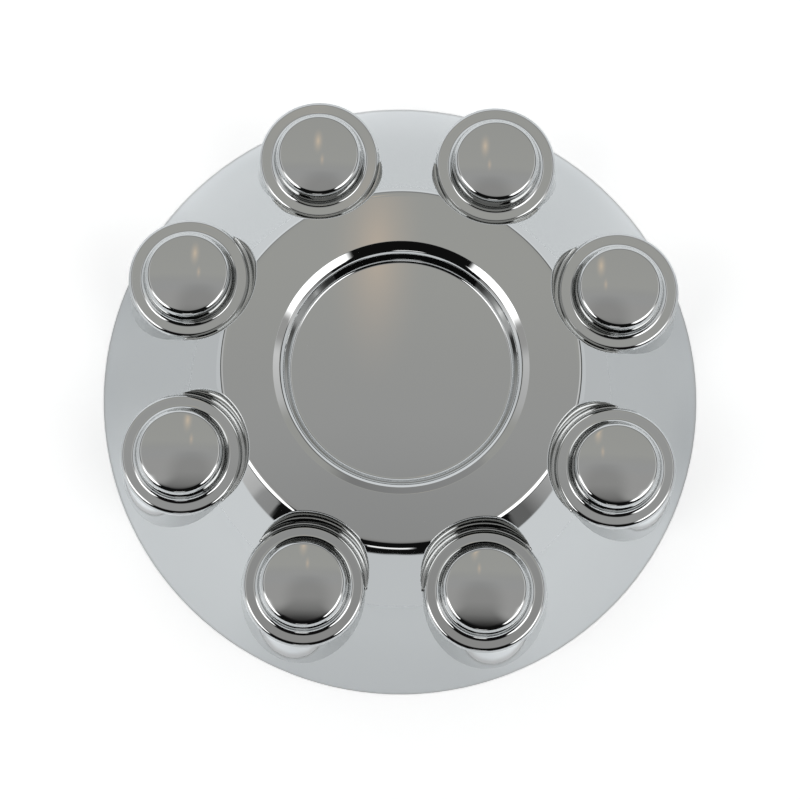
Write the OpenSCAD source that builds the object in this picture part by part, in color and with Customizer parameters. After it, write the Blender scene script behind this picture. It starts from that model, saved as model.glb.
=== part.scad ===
// Bright one-piece centre cap for an eight-stud wheel.
// A moulded shell with an even wall: a raised plateau with a shallow stepped
// recess in its middle, a rounded flange that falls away to a lipped rim, and
// eight domed stud covers, each on a drafted post with a flat collar. Every
// collar sits in a flared pocket that bites into the plateau's edge.
// Origin: centre of the back rim plane. +Z points out of the face.

/* [Overall] */
// Diameter over the rim lip
cap_d = 221; // [190:1:260]
// Height from the back rim plane to the plateau
cap_h = 63.4; // [45:0.2:80]
// Wall of the moulding
wall = 2.6; // [2:0.1:4]

/* [Plateau] */
// Radius where the plateau turns into the flange
plateau_r = 62.8; // [50:0.1:75]
// Radius of the plateau's rounded edge
plateau_edge_r = 2.4; // [0.5:0.1:6]

/* [Recess] */
// Radius of the flat bare floor
floor_r = 38.6; // [25:0.1:45]
// Depth of the floor under the plateau
floor_depth = 6.6; // [3:0.1:10]
// Radius at the top of the first riser
ledge_r = 40; // [30:0.1:50]
// Depth of the ledge under the plateau
ledge_depth = 4.1; // [1:0.1:8]
// Radius at the foot of the second riser
riser_r = 41.9; // [32:0.1:52]
// Radius where the second riser would meet the plateau
mouth_r = 43.6; // [34:0.1:55]
// Radius of the rounding at the mouth
mouth_edge_r = 2.6; // [0.5:0.1:5]

/* [Flange] */
// Radius of the flange's bulge, seen in section
flange_bulge_r = 152; // [110:1:400]
// Width of the rim lip
lip_w = 1.9; // [1:0.1:5]
// Height of the rim lip
lip_h = 2.6; // [1.5:0.1:6]
// Radius of the lip's upper edge
lip_edge_r = 1.2; // [0.4:0.1:2]

/* [Stud covers] */
// Number of stud covers
lugs = 8; // [8]
// Diameter of the stud circle
stud_circle_d = 165.1; // [139.7:0.1:225]
// Depth of the collars under the plateau
collar_depth = 11.9; // [6:0.1:20]
// Outer radius of a collar
collar_r = 21.45; // [17:0.05:25]
// Radius of the collar's outer edge
collar_edge_r = 1.1; // [0.3:0.1:2]
// Draft of the post under the collar, degrees
post_draft = 4.3; // [1:0.1:8]
// Radius of the dome where its foot meets the collar
dome_foot_r = 17.3; // [14:0.1:19]
// Radius of the dome just above its step
dome_step_r = 14.9; // [12:0.1:17]
// Radius of the dome at its top edge
dome_top_r = 14.1; // [11:0.1:16]
// Height of the step above the collar
step_h = 3.7; // [1:0.1:6]
// Height of the dome's edge above the collar
dome_h = 8.6; // [5:0.1:14]
// Rise of the crown above the dome's edge
crown_h = 1.4; // [0.4:0.1:4]

/* [Pockets] */
// Radius of a pocket where it leaves the plateau
pocket_mouth_r = 24.1; // [21.5:0.1:27]
// Gap between the collar and the foot of the pocket's wall
pocket_gap = 0.5; // [0.3:0.05:1.5]
// Depth of the groove around the collar, under its flat
groove_depth = 1; // [0.4:0.1:2]

/* [Stud cover insides] */
// Radius of the well inside a dome
well_r = 11.4; // [9:0.1:12.5]
// Depth of that well above the collar's flat
well_depth = 7; // [4:0.1:10]

/* [Hidden] */
$fn = 96;
chrome = [0.74, 0.75, 0.76];
e = 0.5;                                   // cutters run past a face by this
stud_r = stud_circle_d / 2;
rim_r = cap_d / 2;
collar_z = cap_h - collar_depth;
dome_z = collar_z + dome_h;                // top edge of a dome
bands = 14;                                // steps along the flange's arc
crown_r = (dome_top_r * dome_top_r + crown_h * crown_h) / (2 * crown_h);

// Centre of the flange's arc: it runs from the plateau's edge to the rim lip.
fa = [plateau_r, cap_h];
fb = [rim_r - lip_w, lip_h];
fm = (fa + fb) / 2;
fd = fb - fa;
fn_in = [fd[1], -fd[0]] / norm(fd);        // across the chord, towards the axis
fc = fm + fn_in * sqrt(pow(flange_bulge_r, 2) - pow(norm(fd) / 2, 2));

// Points round a corner p whose sides run towards a and b: an arc of radius r
// that touches both sides, in n steps.
function round_at(p, a, b, r, n = 4) =
    let (ua = (a - p) / norm(a - p), ub = (b - p) / norm(b - p),
         half = acos(ua * ub) / 2,
         c = p + (ua + ub) / norm(ua + ub) * r / sin(half),
         v0 = p + ua * r / tan(half) - c, v1 = p + ub * r / tan(half) - c,
         a0 = atan2(v0[1], v0[0]),
         turn = atan2(v0[0] * v1[1] - v0[1] * v1[0], v0 * v1))
    [for (i = [0 : n]) c + r * [cos(a0 + turn * i / n), sin(a0 + turn * i / n)]];

// Points up the flange from the level z_low to z_top, on the arc moved inwards
// by d.
function flange_a(z, d) = asin((z - fc[1]) / (flange_bulge_r - d));
function flange_line(z_low, z_top, d) =
    let (a0 = flange_a(z_low, d), a1 = flange_a(z_top, d))
    [for (i = [0 : bands]) let (a = a0 + (a1 - a0) * i / bands) fc + (flange_bulge_r - d) * [cos(a), sin(a)]];
function inner(list) = [for (i = [1 : len(list) - 2]) list[i]];

// Section of the body: rim lip, flange, plateau and stepped recess.
module body_section() {
    line = flange_line(lip_h, cap_h, 0);
    floor_z = cap_h - floor_depth;
    ledge_z = cap_h - ledge_depth;
    mouth = [mouth_r, cap_h];
    riser = [riser_r, ledge_z + 0.45];
    ledge = [ledge_r, ledge_z];
    foot = [floor_r, floor_z];
    polygon(concat([[0, 0], [rim_r, 0]],
        round_at([rim_r, lip_h], [rim_r, 0], line[0], lip_edge_r),
        round_at(line[0], [rim_r, lip_h], line[1], 1.0, 3),
        inner(line),
        round_at(line[bands], line[bands - 1], mouth, plateau_edge_r),
        round_at(mouth, line[bands], riser, mouth_edge_r, 6),
        round_at(riser, mouth, ledge, 0.8, 3),
        round_at(ledge, riser, foot, 1.0, 4),
        round_at(foot, ledge, [0, floor_z], 0.8, 3),
        [[0, floor_z]]));
}

// Section of the hollow under it; it runs past the rim plane.
module hollow_section() {
    top = cap_h - wall;
    polygon(concat([[0, -e]], flange_line(-e, top, wall),
        [[mouth_r + wall, top], [riser_r + wall, top - ledge_depth + 0.45], [ledge_r + wall, top - ledge_depth],
         [floor_r + wall, top - floor_depth], [0, top - floor_depth]]));
}

// Section of a stud cover: the drafted post, its collar with a rounded edge,
// and the dome with a stepped foot, a drafted wall and a low crown.
module stud_section() {
    z_low = 1.5;
    rim = [collar_r, collar_z];
    low = [collar_r + (collar_z - z_low) * tan(post_draft), z_low];
    foot = [dome_foot_r - 1.2, collar_z];
    toe = [dome_foot_r - 1.5, collar_z + step_h];
    shin = [dome_step_r, collar_z + step_h];
    brow = [dome_top_r, dome_z];
    ca = asin(dome_top_r / crown_r);
    cc = [0, dome_z + crown_h - crown_r];
    over = cc + crown_r * [sin(ca * 0.8), cos(ca * 0.8)];
    polygon(concat([[0, z_low], low],
        round_at(rim, low, foot, collar_edge_r, 5),
        round_at(foot, rim, toe, 1.3, 4),
        round_at(toe, foot, shin, 0.5, 3),
        [shin],
        round_at(brow, shin, over, 0.9, 4),
        [for (i = [4 : -1 : 0]) cc + crown_r * [sin(ca * 0.2 * i), cos(ca * 0.2 * i)]]));
}

// Section of the flared pocket around a collar, with an eased mouth.
// d moves the surface into the body.
module pocket_section(d = 0) {
    z0 = collar_z - groove_depth - d;
    top = cap_h - d;
    r0 = collar_r + pocket_gap + d;
    r1 = pocket_mouth_r + d;
    polygon([[0, z0], [r0, z0], [r1 - 0.2, top - 1.1], [r1 + 0.15, top - 0.35],
             [r1 + 1.65, top + 0.75], [r1 + 1.65, top + 2], [0, top + 2]]);
}

module at_studs() {
    for (i = [0 : lugs - 1])
        rotate([0, 0, (i + 0.5) * 360 / lugs]) translate([stud_r, 0, 0]) children();
}

// The face: the body with its pockets, and the stud covers set in them.
module face() {
    difference() {
        rotate_extrude($fn = 180) body_section();
        at_studs() rotate_extrude() pocket_section();
    }
    at_studs() rotate_extrude() stud_section();
}

// The hollow behind the face, an even wall below it, and the well in each dome.
module hollow() {
    difference() {
        rotate_extrude($fn = 180) hollow_section();
        at_studs() rotate_extrude() pocket_section(wall);
    }
    at_studs() {
        top = collar_z - wall;
        translate([0, 0, -e])
            cylinder(r1 = collar_r - wall + (top + e) * tan(post_draft), r2 = collar_r - wall, h = top + e);
        translate([0, 0, top - e]) cylinder(r = well_r, h = wall + e + well_depth);
    }
}

module center_cap() {
    color(chrome) difference() {
        face();
        hollow();
    }
}

center_cap();
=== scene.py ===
import math

import bpy
import numpy as np
from mathutils import Matrix, Vector


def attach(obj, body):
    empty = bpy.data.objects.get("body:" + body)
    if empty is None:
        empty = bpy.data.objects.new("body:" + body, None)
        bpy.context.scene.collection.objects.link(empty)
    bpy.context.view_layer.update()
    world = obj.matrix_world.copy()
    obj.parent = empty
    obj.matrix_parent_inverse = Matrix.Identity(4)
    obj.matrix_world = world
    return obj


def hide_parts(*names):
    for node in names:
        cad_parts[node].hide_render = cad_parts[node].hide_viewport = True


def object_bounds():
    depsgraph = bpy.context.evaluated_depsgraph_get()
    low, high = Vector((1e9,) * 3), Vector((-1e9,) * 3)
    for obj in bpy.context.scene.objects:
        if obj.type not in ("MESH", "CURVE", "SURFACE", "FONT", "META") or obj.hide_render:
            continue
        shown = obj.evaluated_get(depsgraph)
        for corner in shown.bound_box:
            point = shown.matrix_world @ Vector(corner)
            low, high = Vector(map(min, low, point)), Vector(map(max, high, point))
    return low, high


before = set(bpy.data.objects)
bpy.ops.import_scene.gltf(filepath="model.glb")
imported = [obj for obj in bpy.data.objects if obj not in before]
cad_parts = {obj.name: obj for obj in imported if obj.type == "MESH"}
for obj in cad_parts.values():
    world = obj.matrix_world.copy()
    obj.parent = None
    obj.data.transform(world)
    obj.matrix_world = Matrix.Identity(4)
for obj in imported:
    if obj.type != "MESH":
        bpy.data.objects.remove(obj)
cad_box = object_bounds()

# The cap's sizes, in millimetres; a mesh is scaled to metres once, when it is made.
# The overall ones come from the frame.
MM = 0.001
RIM_R = cad_box[1][0] / MM
CAP_H = cad_box[1][2] / MM
WALL = 2.6
PLATEAU_R = 62.8
PLATEAU_EDGE_R = 3.7
FLOOR_R = 39.2
FLOOR_DEPTH = 6.6
LEDGE_R = 40.75
LEDGE_DEPTH = 2.25
RISER_R = 41.7
MOUTH_R = 44.8
MOUTH_EDGE_R = 0.6
SKIRT_W = 0.35
SKIRT_H = 1.5
BULGE_R = 152.0
STUD_R = 165.1 / 2
STUDS = 8
COLLAR_R = 21.45
COLLAR_EDGE_R = 1.65
COLLAR_Z = CAP_H - 11.9
POST_SLOPE = 1 / math.tan(math.radians(4.3))
DOME_FOOT_R = 17.15
DOME_WALL_R = 15.8
DOME_TOP_R = 15.0
TOE_H = 0.85
STEP_H = 2.3
DOME_H = 7.45
CROWN_H = 1.04
BROW_R = 2.3
GROOVE_R = COLLAR_R + 0.5
GROOVE_Z = COLLAR_Z - 1.0
POCKET_MOUTH_R = 24.1
WELL_R = 11.4
WELL_DEPTH = 5.9

# The set, in metres, and the table's own whiteness.
STUDIO_R = 30.0
TABLE_WHITE = 0.9

# How finely the mesh follows the cap.
GAP_COLUMNS = 16
FLAT = 0.3
EPS = 1e-4


class Section:
    """A section of the cap: rows of r, z and the normal's nr and nz, which is on the path's left."""

    def __init__(self):
        self.rows = []

    def corners(self, points, steps=4):
        """Straight sides through (r, z, rounding) points. Rounding 0 is a plain point, None only a direction."""
        points = [(np.array(p[:2]), p[2]) for p in points]
        for i, (p, rounding) in enumerate(points):
            if rounding is None:
                continue
            before = p - points[i - 1][0] if i else points[1][0] - p
            after = points[i + 1][0] - p if i + 1 < len(points) else before
            u, v = before / np.linalg.norm(before), after / np.linalg.norm(after)
            turn = math.atan2(u[0] * v[1] - u[1] * v[0], u @ v)
            left = np.array((-u[1], u[0]))
            side = math.copysign(1, turn)
            start = p - u * rounding * math.tan(abs(turn) / 2)
            centre = start + side * rounding * left
            count = steps if rounding else 0
            for k in range(count + 1):
                a = turn * k / count if count else turn / 2
                n = np.array((math.cos(a) * left[0] - math.sin(a) * left[1],
                              math.sin(a) * left[0] + math.cos(a) * left[1]))
                self.rows.append((*(centre - side * rounding * n), *n))
        return self

    def arc(self, centre, radius, first, last, count):
        """Points on an arc that bulges to the left of the path, at angles measured from +Z."""
        for a in np.linspace(first, last, count):
            n = np.array((math.sin(a), math.cos(a)))
            self.rows.append((*(np.array(centre) + radius * n), *n))
        return self

    def array(self):
        return np.array(self.rows)


def flange_centre():
    """Centre of the arc that the flange follows from the plateau's edge to the rim."""
    a = np.array((PLATEAU_R, CAP_H))
    b = np.array((RIM_R - SKIRT_W, SKIRT_H))
    chord = b - a
    length = np.linalg.norm(chord)
    inward = np.array((chord[1], -chord[0])) / length
    return (a + b) / 2 + inward * math.sqrt(BULGE_R ** 2 - (length / 2) ** 2)


BULGE_C = flange_centre()


def soft_max(a, b, k):
    return np.maximum(a, b) + np.maximum(k - np.abs(a - b), 0) ** 2 / (4 * k)


def soft_min(a, b, k):
    return -soft_max(-a, -b, k)


def shell_height(r, inset, edge_r):
    """Height of the plateau and the flange at radius r, moved into the wall by inset."""
    bulge, top = BULGE_R - inset, CAP_H - inset
    z = top - edge_r
    c = BULGE_C[0] + math.sqrt((bulge - edge_r) ** 2 - (z - BULGE_C[1]) ** 2)
    end = c + edge_r * (c - BULGE_C[0]) / (bulge - edge_r)
    arc = BULGE_C[1] + np.sqrt(bulge ** 2 - (r - BULGE_C[0]) ** 2)
    rounding = z + np.sqrt(np.maximum(edge_r ** 2 - (r - c) ** 2, 0))
    return np.where(r > end, arc, np.where(r > c, rounding, top))


class Outside:
    """The face: everything that shows from the front."""
    patch_r = 25.6
    side = 1
    half_turns = ((0, 144.2, 42), (144.2, 149.4, 5), (149.4, 180, 9))
    bands = ((8, 0.62), (3, 1), (12, 0.8), (10, 1.7))

    @staticmethod
    def boundary(angle):
        return np.full_like(angle, Outside.patch_r)

    @staticmethod
    def body(r):
        return shell_height(r, 0, PLATEAU_EDGE_R)

    @staticmethod
    def pocket(rho):
        slope = (CAP_H - 1.1 - GROOVE_Z) / (POCKET_MOUTH_R - 0.2 - GROOVE_R)
        return np.maximum(GROOVE_Z, GROOVE_Z + (rho - GROOVE_R) * slope)

    @staticmethod
    def post(rho):
        turn = math.atan(POST_SLOPE)
        start = COLLAR_R - COLLAR_EDGE_R * math.tan(turn / 2)
        end = start + COLLAR_EDGE_R * math.sin(turn)
        rounding = COLLAR_Z - COLLAR_EDGE_R + np.sqrt(np.maximum(COLLAR_EDGE_R ** 2 - (rho - start) ** 2, 0))
        side = COLLAR_Z - (rho - COLLAR_R) * POST_SLOPE
        return np.where(rho > end, side, np.where(rho > start, rounding, COLLAR_Z))

    @staticmethod
    def around(rho, body):
        """The surface round a stud cover, before the cover is added."""
        k = np.clip(0.6 * (body - GROOVE_Z), 0.3, 4.2)
        return soft_min(body, Outside.pocket(rho), k)

    @staticmethod
    def height(rho, body):
        around = Outside.around(rho, body)
        k = np.interp(GROOVE_Z - around, (0, 8), (0.4, 0.9))
        return soft_max(Outside.post(rho), around, k)

    @staticmethod
    def middle():
        """Section of the dome and of the collar's flat, from the axis out."""
        crown_r = (DOME_TOP_R ** 2 + CROWN_H ** 2) / (2 * CROWN_H)
        lean = math.asin(DOME_TOP_R / crown_r)
        edge_z = COLLAR_Z + DOME_H
        back = np.array((math.cos(lean), -math.sin(lean)))
        brow = np.array((DOME_TOP_R, edge_z))
        section = Section().arc((0, edge_z + CROWN_H - crown_r), crown_r, lean * 0.06, lean * 0.84, 7)
        section.corners([
            (*(brow - back), None),
            (*brow, BROW_R),
            (DOME_WALL_R - 0.05, COLLAR_Z + STEP_H, 0.8),
            (DOME_WALL_R, COLLAR_Z + TOE_H, 1.8),
            (DOME_FOOT_R, COLLAR_Z, 1.8),
            (DOME_FOOT_R + 2, COLLAR_Z, None)], steps=5)
        turn = math.atan(POST_SLOPE)
        start = COLLAR_R - COLLAR_EDGE_R * math.tan(turn / 2)
        edge = start + COLLAR_EDGE_R * np.sin(turn * np.arange(8) / 7)
        return section.array(), edge

    @staticmethod
    def keys(edge_r, angle, hub):
        """Radii where the post ends, the groove ends and the pocket's wall ends."""
        post_end = crossing(lambda rho: Outside.post(rho) - Outside.around(rho, Outside.body(hub(rho))),
                            edge_r, 25.2, angle)
        wall_end = crossing(lambda rho: Outside.body(hub(rho)) - Outside.pocket(rho), GROOVE_R, 24.3, angle)
        groove_end = np.maximum(GROOVE_R, post_end + 0.2)
        return post_end, groove_end, np.maximum(wall_end, groove_end + 0.2)


class Inside:
    """The hollow behind the face, an even wall below it."""
    side = -1
    half_turns = ((0, 142, 19), (142, 152, 3), (152, 180, 6))
    bands = ((5, 0.8), (2, 1), (5, 1), (4, 1.3))

    @staticmethod
    def boundary(angle):
        return 26.4 - 2.4 * np.cos(angle)

    @staticmethod
    def body(r):
        return shell_height(r, WALL, 0.8)

    @staticmethod
    def pocket(rho):
        return Outside.pocket(rho - WALL) - WALL

    @staticmethod
    def post(rho):
        return COLLAR_Z - WALL - (rho - COLLAR_R + WALL) * POST_SLOPE

    @staticmethod
    def around(rho, body):
        k = np.clip(0.6 * (body - GROOVE_Z + WALL), 0.3, 3)
        return soft_min(body, Inside.pocket(rho), k)

    @staticmethod
    def height(rho, body):
        return soft_max(Inside.post(rho), Inside.around(rho, body), 0.5)

    @staticmethod
    def middle():
        """Section of the well in a dome and of the collar's underside, from the axis out."""
        top, roof = COLLAR_Z + WELL_DEPTH, COLLAR_Z - WALL
        bore = COLLAR_R - WALL
        drop = 0.9
        section = Section().corners([
            (bore + drop / POST_SLOPE, roof - drop, None),
            (bore, roof, 0.5),
            (WELL_R, roof, 0.4),
            (WELL_R, top, 0.6),
            (1.5, top, 0)], steps=3)
        return section.array()[::-1], np.array([bore + 0.6 / POST_SLOPE])

    @staticmethod
    def keys(edge_r, angle, hub):
        limit = Inside.boundary(angle)
        post_end = crossing(lambda rho: Inside.post(rho) - Inside.around(rho, Inside.body(hub(rho))),
                            edge_r, 22.6, angle)
        wall_end = crossing(lambda rho: Inside.body(hub(rho)) - Inside.pocket(rho), GROOVE_R + WALL, 27.2, angle)
        groove_end = np.minimum(np.maximum(GROOVE_R + WALL, post_end + 0.3), limit - 0.7)
        return post_end, groove_end, np.minimum(np.maximum(wall_end, groove_end + 0.3), limit - 0.35)


def crossing(difference, low, high, angle):
    """Where difference falls through zero between low and high, for every angle."""
    low, high = np.full_like(angle, low), np.full_like(angle, high)
    for _ in range(40):
        mid = (low + high) / 2
        above = difference(mid) > 0
        low, high = np.where(above, mid, low), np.where(above, high, mid)
    return low


def turns(half):
    """Angles round a stud cover, the same on both sides of the line from the axis."""
    spans = [np.linspace(math.radians(a), math.radians(b), n + 1)[:-1] for a, b, n in half]
    upper = np.concatenate(spans + [[math.pi]])
    return np.concatenate([upper, 2 * math.pi - upper[-2:0:-1]])


def patch(kind):
    """One stud cover and what lies round it, with the axis at the origin and the cover on +X."""
    angle = turns(kind.half_turns)
    section, edge = kind.middle()

    def hub(rho):
        return np.sqrt(STUD_R ** 2 + rho ** 2 + 2 * STUD_R * rho * np.cos(angle))

    post_end, groove_end, wall_end = kind.keys(edge[-1], angle, hub)
    stops = [np.full_like(angle, edge[-1]), post_end, groove_end, wall_end, kind.boundary(angle)]
    radii = [np.full_like(angle, r) for r in edge]
    for (count, power), a, b in zip(kind.bands, stops, stops[1:]):
        for k in range(1, count + 1):
            share = (k / count) ** power if power >= 1 else 1 - (1 - k / count) ** (1 / power)
            radii.append(a + (b - a) * share)
    rho = np.array(radii)
    x, y = STUD_R + rho * np.cos(angle), rho * np.sin(angle)

    def height(px, py):
        return kind.height(np.hypot(px - STUD_R, py), kind.body(np.hypot(px, py)))

    z = height(x, y)
    slope_x = (height(x + EPS, y) - height(x - EPS, y)) / (2 * EPS)
    slope_y = (height(x, y + EPS) - height(x, y - EPS)) / (2 * EPS)
    normals = kind.side * np.stack([-slope_x, -slope_y, np.ones_like(z)], axis=-1)
    outer = np.stack([x, y, z], axis=-1)
    r, sz, nr, nz = (section[:, i, None] for i in range(4))
    inner = np.stack(np.broadcast_arrays(STUD_R + r * np.cos(angle), r * np.sin(angle), sz), axis=-1)
    inner_n = np.stack(np.broadcast_arrays(nr * np.cos(angle), nr * np.sin(angle), nz), axis=-1)
    return np.concatenate([inner, outer]), np.concatenate([inner_n, normals])


class Skin:
    """Collects points, normals and faces."""

    def __init__(self):
        self.points, self.normals, self.faces = [], [], []

    def add(self, points, normals):
        """Adds points of any shape and returns their numbers in that shape."""
        points, normals = np.asarray(points), np.asarray(normals)
        first = sum(len(p) for p in self.points)
        self.points.append(points.reshape(-1, 3))
        self.normals.append(normals.reshape(-1, 3))
        return first + np.arange(points.size // 3).reshape(points.shape[:-1])

    def grid(self, rows, flip=False):
        """Quads between rows of point numbers. A closed ring repeats its first column."""
        a, b, c, d = rows[:-1, :-1], rows[:-1, 1:], rows[1:, 1:], rows[1:, :-1]
        quads = np.stack([a, b, c, d] if flip else [a, d, c, b], axis=-1).reshape(-1, 4)
        self.faces += quads.tolist()

    def fan(self, centre, ring, flip=False):
        for a, b in zip(ring[:-1], ring[1:]):
            self.faces.append([centre, b, a] if flip else [centre, a, b])


def turned(vectors, angle):
    c, s = math.cos(angle), math.sin(angle)
    x, y, z = np.moveaxis(vectors, -1, 0)
    return np.stack([c * x - s * y, s * x + c * y, z], axis=-1)


def closed(rows):
    return np.concatenate([rows, rows[..., :1]], axis=-1)


def add_side(skin, kind):
    """Builds the face or the hollow from the plateau out to the flange's foot. Returns its first and last ring."""
    points, normals = patch(kind)
    flip = kind.side < 0
    half = points.shape[1] // 2
    edge = points[-1]
    hub_r, hub_a = np.hypot(edge[:, 0], edge[:, 1]), np.arctan2(edge[:, 1], edge[:, 0])
    pitch = 2 * math.pi / STUDS
    covers = []
    for i in range(STUDS):
        at = (i + 0.5) * pitch
        numbers = skin.add(turned(points, at), turned(normals, at))
        skin.grid(closed(numbers), flip)
        centre = skin.add(turned(np.array([[STUD_R, 0, points[0, 0, 2]]]), at), [[0, 0, kind.side]])[0]
        skin.fan(centre, closed(numbers[0]), flip)
        covers.append(numbers[-1])
    rings = []
    for i in range(STUDS):
        here, beyond = covers[i], covers[(i + 1) % STUDS]
        rows = []
        for j in range(half, -1, -1):
            r, a = hub_r[j], hub_a[j]
            first, last = (i + 0.5) * pitch + a, (i + 1.5) * pitch - a
            spread = np.linspace(first, last, GAP_COLUMNS + 1)[1:-1]
            rr = np.array([r - EPS, r, r + EPS])
            z = kind.body(rr)
            slope = (z[2] - z[0]) / (2 * EPS)
            ring = np.stack([r * np.cos(spread), r * np.sin(spread), np.full_like(spread, z[1])], axis=-1)
            n = kind.side * np.stack([-slope * np.cos(spread), -slope * np.sin(spread), np.ones_like(spread)], axis=-1)
            between = skin.add(ring, n)
            rows.append(np.concatenate([[here[j]], between, [beyond[-j % len(beyond)]]]))
        rows = np.array(rows)
        skin.grid(rows, flip)
        rings.append(rows[[0, -1], :-1])
    return np.concatenate(rings, axis=1)


def add_rings(skin, section, start, end=None):
    """Revolves a section from the ring numbered start, and closes it on the ring numbered end."""
    angle = (0.5 + np.arange(STUDS * GAP_COLUMNS) / GAP_COLUMNS) * 2 * math.pi / STUDS
    r, z, nr, nz = (section[:, i, None] for i in range(4))
    points = np.stack(np.broadcast_arrays(r * np.cos(angle), r * np.sin(angle), z), axis=-1)
    normals = np.stack(np.broadcast_arrays(nr * np.cos(angle), nr * np.sin(angle), nz), axis=-1)
    rows = [start[None], skin.add(points, normals)]
    if end is not None:
        rows.append(end[None])
    return closed(np.concatenate(rows))


def recess_section():
    """The stepped recess, from the plateau to the middle of its floor."""
    floor_z, ledge_z = CAP_H - FLOOR_DEPTH, CAP_H - LEDGE_DEPTH
    section = Section().corners([
        (0.8, floor_z, 0),
        (FLOOR_R * 0.5, floor_z, 0),
        (FLOOR_R, floor_z, 1.4),
        (LEDGE_R, ledge_z, 1.05),
        (RISER_R, ledge_z + 1.15, 3.8),
        (MOUTH_R, CAP_H, MOUTH_EDGE_R),
        (MOUTH_R + 6, CAP_H, 0)], steps=6)
    return section.array()[::-1]


def recess_back_section():
    """The same from behind: an even wall under it."""
    top = CAP_H - WALL
    return Section().corners([
        (MOUTH_R + WALL + 5, top, 0),
        (MOUTH_R + WALL, top, 0.5),
        (RISER_R + WALL, top - LEDGE_DEPTH + 1.15, 0.5),
        (LEDGE_R + WALL, top - LEDGE_DEPTH, 0.5),
        (FLOOR_R + WALL, top - FLOOR_DEPTH, 0.5),
        (FLOOR_R * 0.5, top - FLOOR_DEPTH, 0),
        (0.8, top - FLOOR_DEPTH, 0)], steps=3).array()


def rim_section():
    """The rim, from the flange down its short skirt to the base plane and up to the hollow."""
    brow = np.array((RIM_R - SKIRT_W, SKIRT_H))
    run = brow - BULGE_C
    up_flange = np.array((-run[1], run[0])) / np.linalg.norm(run)
    inner_r = BULGE_C[0] + math.sqrt((BULGE_R - WALL) ** 2 - BULGE_C[1] ** 2)
    return Section().corners([
        (*(brow + 3 * up_flange), None),
        (*brow, 0.25),
        (RIM_R, 0, 0.12),
        (inner_r, 0, 0.25),
        (inner_r - 0.4, 1, None)], steps=4).array()


def make_cap():
    """The whole cap as one closed skin with true normals."""
    skin = Skin()
    face_in, face_out = add_side(skin, Outside)
    back_in, back_out = add_side(skin, Inside)
    floor = add_rings(skin, recess_section(), face_in)
    skin.grid(floor, flip=True)
    middle = skin.add([[0, 0, CAP_H - FLOOR_DEPTH]], [[0, 0, 1]])[0]
    skin.fan(middle, floor[-1])
    behind = add_rings(skin, recess_back_section(), back_in)
    skin.grid(behind)
    middle = skin.add([[0, 0, CAP_H - FLOOR_DEPTH - WALL]], [[0, 0, -1]])[0]
    skin.fan(middle, behind[-1], flip=True)
    skin.grid(add_rings(skin, rim_section(), face_out, back_out))
    points = np.concatenate(skin.points) * MM
    normals = np.concatenate(skin.normals)
    normals /= np.linalg.norm(normals, axis=1, keepdims=True)
    mesh = bpy.data.meshes.new("center_cap_skin")
    mesh.from_pydata(points.tolist(), [], skin.faces)
    mesh.polygons.foreach_set("use_smooth", [True] * len(mesh.polygons))
    mesh.normals_split_custom_set_from_vertices(normals.tolist())
    cap = bpy.data.objects.new("center_cap_skin", mesh)
    bpy.context.collection.objects.link(cap)
    return cap


def new_material(name):
    material = bpy.data.materials.new(name)
    material.use_nodes = True
    material.cycles.emission_sampling = "NONE"
    nodes = material.node_tree.nodes
    nodes.clear()
    return material, nodes, material.node_tree.links


def chrome_material():
    """Bright plate: a mirror with a faint ripple and hair-fine wear in its roughness."""
    material, nodes, links = new_material("bright_chrome")
    shader = nodes.new("ShaderNodeBsdfPrincipled")
    shader.inputs["Metallic"].default_value = 1.0
    shader.inputs["Base Color"].default_value = (0.549, 0.556, 0.554, 1)
    shader.inputs["Roughness"].default_value = 0.04
    place = nodes.new("ShaderNodeTexCoord")
    ripple = nodes.new("ShaderNodeTexNoise")
    ripple.inputs["Scale"].default_value = 55
    ripple.inputs["Detail"].default_value = 2
    bump = nodes.new("ShaderNodeBump")
    bump.inputs["Strength"].default_value = 0.006
    bump.inputs["Distance"].default_value = 0.0005
    links.new(place.outputs["Object"], ripple.inputs["Vector"])
    links.new(ripple.outputs["Fac"], bump.inputs["Height"])
    links.new(bump.outputs["Normal"], shader.inputs["Normal"])
    wear = nodes.new("ShaderNodeTexNoise")
    wear.inputs["Scale"].default_value = 140
    wear.inputs["Detail"].default_value = 6
    spread = nodes.new("ShaderNodeMapRange")
    spread.inputs["To Min"].default_value = 0.012
    spread.inputs["To Max"].default_value = 0.032
    links.new(place.outputs["Object"], wear.inputs["Vector"])
    links.new(wear.outputs["Fac"], spread.inputs["Value"])
    links.new(spread.outputs["Result"], shader.inputs["Roughness"])
    out = nodes.new("ShaderNodeOutputMaterial")
    links.new(shader.outputs["BSDF"], out.inputs["Surface"])
    return material


def between(value, low, high, soft):
    """1 where value lies between low and high, with edges this soft."""
    rise = np.clip((value - low) / soft + 0.5, 0, 1)
    fall = np.clip((high - value) / soft + 0.5, 0, 1)
    share = np.minimum(rise, fall)
    return share * share * (3 - 2 * share)


def angle_from(azimuth, middle):
    """Signed angle of azimuth from middle, in degrees."""
    return (azimuth - middle + 180) % 360 - 180


def blend(light, level, share, tint=(1, 1, 1)):
    """Lays a level over light where share is 1. It is one number, or one for each direction."""
    return light + (np.asarray(level)[..., None] * np.array(tint) - light) * share[..., None]


def table_light(azimuth):
    """Colour of the table as the metal shows it: dimmer at both sides and in front, a little cool."""
    level = np.full_like(azimuth, 1.06)
    for middle, reach, dip in ((6, 44, 0.23), (75, 70, 0.05), (168, 40, 0.24), (268, 52, 0.15)):
        level = level - dip * between(angle_from(azimuth, middle), -reach / 2, reach / 2, 22)
    return level[..., None] * np.array((0.965, 0.995, 1.02))


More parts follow.
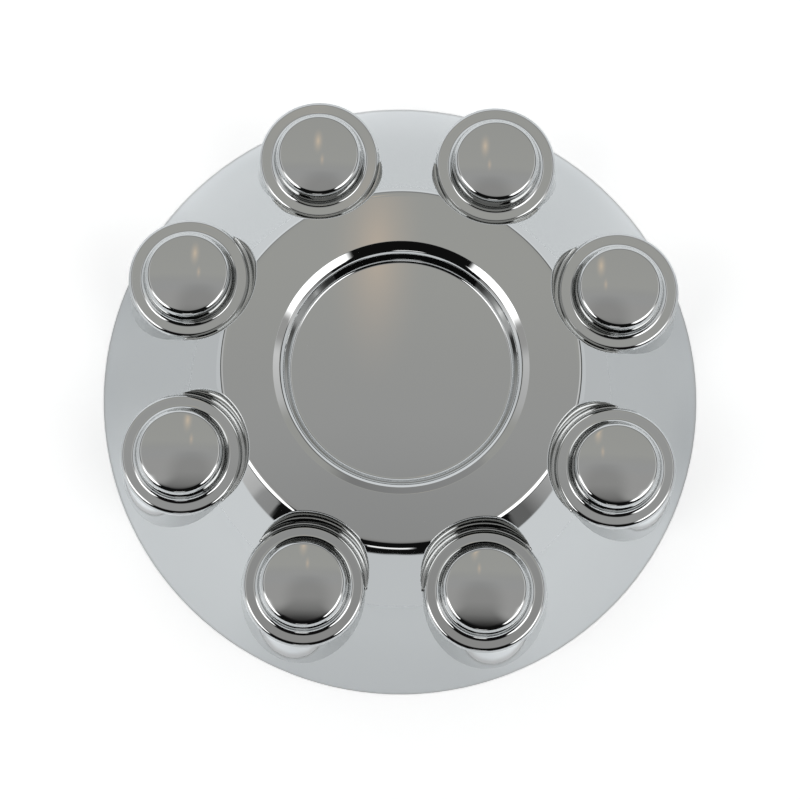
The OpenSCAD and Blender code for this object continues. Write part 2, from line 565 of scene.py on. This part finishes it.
def ceiling_light(azimuth, zenith, side):
    """The ceiling: dark over the camera's side, then a soft grey that turns a little warm over the far side."""
    ahead = np.tan(np.radians(np.minimum(zenith, 80))) * np.sin(np.radians(azimuth))
    level = np.interp(ahead, (-0.2, -0.155, -0.135, -0.12, -0.1, -0.088, -0.06, -0.03, 0, 0.13, 0.16, 0.22, 0.6),
                      (0.012, 0.047, 0.11, 0.17, 0.23, 0.28, 0.33, 0.38, 0.42, 0.43, 0.51, 0.55, 0.53))
    open_side = between(side, 62, 400, 24) * between(zenith, 8, 200, 8)
    level = level + (np.maximum(level, 0.52) - level) * open_side
    turn = (0.07, 0.11, 0.15, 0.22)
    red = np.interp(ahead, turn, (1.01, 0.998, 0.998, 1.0))
    blue = np.interp(ahead, turn, (0.985, 0.995, 0.99, 0.955))
    return level[..., None] * np.stack([red, np.ones_like(red), blue], axis=-1)


def lay_far_walls(light, azimuth, zenith):
    """Windows at both sides, a shaded gap under the ceiling all round the far side, and white walls below it."""
    far = angle_from(azimuth, 90)
    reach = np.abs(far)
    window_low = np.interp(reach, (50, 75, 90), (36, 24, 19))
    window_high = np.interp(reach, (60, 75, 90), (46, 41, 28))
    window = between(zenith, window_low, window_high, 6) * between(reach, 54, 106, 12)
    light = blend(light, np.interp(far, (-90, -60, 60, 90), (1.1, 0.8, 0.7, 0.9)), window)
    turn = (-90, -75, -60, -45, -30, 0, 30, 45, 60, 75, 90)
    gap_low = np.interp(far, turn, (45, 45, 48, 53, 47, 41, 43, 50, 50, 47, 42))
    gap_high = np.interp(far, turn, (53, 57, 60, 66, 61, 56.5, 57, 62, 60, 56, 51.5))
    shade = np.interp(far, turn, (0.04, 0.06, 0.13, 0.2, 0.28, 0.37, 0.42, 0.36, 0.15, 0.05, 0.07))
    far_side = between(reach, -100, 104, 8)
    light = blend(light, shade, between(zenith, gap_low, gap_high, 4) * far_side)
    low_wall = (between(zenith, gap_high, 200, 4) * far_side)[..., None]
    return light + (np.minimum(table_light(azimuth) * 1.1, 1.2) - light) * low_wall


def lay_near_side(light, azimuth, zenith, side):
    """Bright screens left and right of the camera, and the black about the camera with its lens in the middle."""
    front = angle_from(azimuth, 270)
    off = np.abs(front)
    screen_low = np.interp(side, (42, 50, 60), (27, 22, 17))
    screen_high = np.interp(side, (35, 50, 65, 80), (44, 46, 49, 42))
    near = between(side, 36, 400, 5) * between(off, -100, 83, 8)
    light = blend(light, 2.6, near * between(zenith, screen_low, screen_high, 7))
    under = near * between(zenith, screen_high, 200, 5)
    light = blend(light, np.interp(front, (-75, -55.5, -53.5, -44, 44, 50, 57, 75), (1.05, 0.72, 0.46, 0.4, 0.2, 0.2, 0.48, 0.85)), under)
    light = blend(light, 0.06, under * between(zenith, 49, 56, 2) * between(off, -100, 68, 6))
    left = np.interp(zenith, (20, 26, 30, 42, 48, 80), (51, 49, 41, 42, 48, 46))
    right = np.interp(zenith, (20, 30, 42, 49, 80), (37, 36, 37, 45.5, 43.5))
    edge = np.interp(zenith, (44, 50), (4, 1))
    light = blend(light, 0.008, between(front, -left, right, edge) * between(zenith, 12, 200, 3))
    return blend(light, 1.7, between(zenith, 58.5, 64, 2.5) * between(front, -11, 6, 4))


def studio_light(azimuth, zenith):
    """Colour of the studio in each direction, in degrees. Azimuth 270 is the side nearest the camera's foot."""
    front = angle_from(azimuth, 270)
    side = np.abs(front + 5)
    light = ceiling_light(azimuth, zenith, side)
    light = lay_far_walls(light, azimuth, zenith)
    light = lay_near_side(light, azimuth, zenith, side)
    table_edge = np.interp(np.abs(front), (0, 14, 28, 38, 55, 85, 105), (72, 72.5, 74, 77.8, 78.5, 79, 79))
    table = between(zenith, table_edge, 300, 0.5)[..., None]
    return light + (table_light(azimuth) - light) * table


def polar_sheet(name, radii, heights, azimuth, light):
    """A sheet of rings round the axis, in metres, with a colour at each point in its attribute light."""
    a = np.radians(azimuth)
    points = [(r * c, r * s, z) for r, z in zip(radii, heights) for c, s in zip(np.cos(a), np.sin(a))]
    rows = closed(np.arange(len(points)).reshape(len(radii), len(azimuth)))
    quads = np.stack([rows[:-1, :-1], rows[:-1, 1:], rows[1:, 1:], rows[1:, :-1]], axis=-1).reshape(-1, 4)
    mesh = bpy.data.meshes.new(name)
    mesh.from_pydata(points, [], quads.tolist())
    colour = mesh.attributes.new("light", "FLOAT_COLOR", "POINT")
    rgba = np.concatenate([light, np.ones_like(light[..., :1])], axis=-1)
    colour.data.foreach_set("color", rgba.astype(np.float32).ravel())
    sheet = bpy.data.objects.new(name, mesh)
    bpy.context.collection.objects.link(sheet)
    return sheet


def emission(nodes, links, strength):
    """An emission node in the colours of the attribute light."""
    colour = nodes.new("ShaderNodeAttribute")
    colour.attribute_name = "light"
    glow = nodes.new("ShaderNodeEmission")
    glow.inputs["Strength"].default_value = strength
    links.new(colour.outputs["Color"], glow.inputs["Color"])
    return glow


def make_studio():
    """A dome round the set that the camera doesn't see: a grey ceiling, white walls and a dark front."""
    azimuth = np.arange(0, 360, 1.0)
    zenith = np.concatenate([np.arange(0.01, 66, 0.75), np.arange(66, 82, 0.25), np.arange(82, 98, 1.0)])
    t = np.radians(zenith)
    light = studio_light(*np.meshgrid(azimuth, zenith))
    studio = polar_sheet("studio", STUDIO_R * np.sin(t), STUDIO_R * np.cos(t), azimuth, light)
    studio.visible_camera = False
    material, nodes, links = new_material("studio_light")
    out = nodes.new("ShaderNodeOutputMaterial")
    links.new(emission(nodes, links, 1.0).outputs["Emission"], out.inputs["Surface"])
    studio.data.materials.append(material)
    upward = np.where(zenith < 90, np.sin(t) * np.cos(t), 0)[:, None, None]
    upward = upward * np.gradient(t)[:, None, None]
    return (light * upward).sum(axis=(0, 1)).mean() * math.radians(1.0) / math.pi


def make_floor(daylight):
    """A plain white table. It shows white to the camera and in the metal, and keeps the shadow; the glow that the
    metal sees also has a painted contact shadow, a dark ring under the rim.
    """
    azimuth = np.arange(0, 360, 4.0)
    radii = np.array([0.0001, 0.05, 0.109, 0.1115, 0.1128, 0.2, 0.5, 1.2, 3, 6])
    # Painted shadow: the glow that the metal sees is darkened to 0.3 in a ring just under the rim.
    painted_contact_shadow = np.array([1, 1, 0.3, 0.3, 1, 1, 1, 1, 1, 1])[:, None, None]
    own_light = TABLE_WHITE * daylight
    light = painted_contact_shadow * np.maximum(table_light(azimuth) - own_light, 0)
    floor = polar_sheet("floor", radii, np.zeros_like(radii), azimuth, light)
    floor.location.z = -0.0003
    material, nodes, links = new_material("white_table")
    matt = nodes.new("ShaderNodeBsdfDiffuse")
    matt.inputs["Color"].default_value = (TABLE_WHITE, TABLE_WHITE, TABLE_WHITE, 1)
    path = nodes.new("ShaderNodeLightPath")
    mirrored = emission(nodes, links, 1.0)
    links.new(path.outputs["Is Glossy Ray"], mirrored.inputs["Strength"])
    to_white = nodes.new("ShaderNodeMath")
    to_white.operation = "MULTIPLY"
    to_white.inputs[1].default_value = 1.07 - own_light
    links.new(path.outputs["Is Camera Ray"], to_white.inputs[0])
    seen = nodes.new("ShaderNodeEmission")
    links.new(to_white.outputs["Value"], seen.inputs["Strength"])
    surface = matt.outputs["BSDF"]
    for glow in (mirrored, seen):
        both = nodes.new("ShaderNodeAddShader")
        links.new(surface, both.inputs[0])
        links.new(glow.outputs["Emission"], both.inputs[1])
        surface = both.outputs["Shader"]
    out = nodes.new("ShaderNodeOutputMaterial")
    links.new(surface, out.inputs["Surface"])
    floor.data.materials.append(material)


def make_warm_glow(name, middle, reach, colour):
    """A faint warm light high over the far side. Middle and reach are slopes from the axis, so it has no height."""
    height = 0.7 * STUDIO_R
    x, y = reach[0] * height, reach[1] * height
    mesh = bpy.data.meshes.new(name)
    mesh.from_pydata([(-x, -y, 0), (x, -y, 0), (x, y, 0), (-x, y, 0)], [], [(0, 1, 2, 3)])
    glow_sheet = bpy.data.objects.new(name, mesh)
    glow_sheet.location = (middle[0] * height, middle[1] * height, height)
    glow_sheet.visible_camera = False
    bpy.context.collection.objects.link(glow_sheet)
    material, nodes, links = new_material(name)
    place = nodes.new("ShaderNodeTexCoord")
    shape = nodes.new("ShaderNodeMapping")
    shape.inputs["Scale"].default_value = (1 / x, 1 / y, 1)
    fall = nodes.new("ShaderNodeTexGradient")
    fall.gradient_type = "QUADRATIC_SPHERE"
    glow = nodes.new("ShaderNodeEmission")
    glow.inputs["Color"].default_value = (*colour, 1)
    clear = nodes.new("ShaderNodeBsdfTransparent")
    both = nodes.new("ShaderNodeAddShader")
    out = nodes.new("ShaderNodeOutputMaterial")
    links.new(place.outputs["Object"], shape.inputs["Vector"])
    links.new(shape.outputs["Vector"], fall.inputs["Vector"])
    links.new(fall.outputs["Fac"], glow.inputs["Strength"])
    links.new(clear.outputs["BSDF"], both.inputs[0])
    links.new(glow.outputs["Emission"], both.inputs[1])
    links.new(both.outputs["Shader"], out.inputs["Surface"])
    mesh.materials.append(material)


def make_world():
    world = bpy.data.worlds.new("white_room")
    bpy.context.scene.world = world
    world.use_nodes = True
    background = world.node_tree.nodes["Background"]
    background.inputs["Color"].default_value = (1, 1, 1, 1)
    background.inputs["Strength"].default_value = 1.0


def make_camera():
    """The photograph's camera: nearly over the face, a little towards the near side, with a long lens."""
    tilt = [math.radians(a) for a in (-9.5012, 0.3124, -1.7367)]
    distance, pixels_per_unit, photo_width = 900.0, 2573.305, 800
    aim_x, aim_y = 0.3980, 11.1595
    top_z = CAP_H - 3.3
    turn = Matrix.Rotation(tilt[0], 3, "X") @ Matrix.Rotation(tilt[1], 3, "Y") @ Matrix.Rotation(tilt[2], 3, "Z")
    place = turn.transposed() @ Vector((-aim_x, -aim_y, distance)) + Vector((0, 0, top_z))
    data = bpy.data.cameras.new("camera")
    data.sensor_width = 36
    data.lens = 36 * pixels_per_unit / photo_width
    data.clip_start, data.clip_end = 0.05, 20
    camera = bpy.data.objects.new("camera", data)
    camera.matrix_world = Matrix.Translation(place * MM) @ turn.transposed().to_4x4()
    bpy.context.collection.objects.link(camera)
    bpy.context.scene.camera = camera


make_camera()
make_world()
make_floor(make_studio())
make_warm_glow("warm_glow_low", (-0.011, 0.228), (0.022, 0.062), (0.28, 0.155, 0.06))
make_warm_glow("warm_glow_high", (-0.044, 0.372), (0.045, 0.12), (0.42, 0.26, 0.11))
cap = make_cap()
cap.data.materials.append(chrome_material())
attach(cap, "root")
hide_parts("center_cap")
bpy.context.scene.view_settings.view_transform = "Standard"
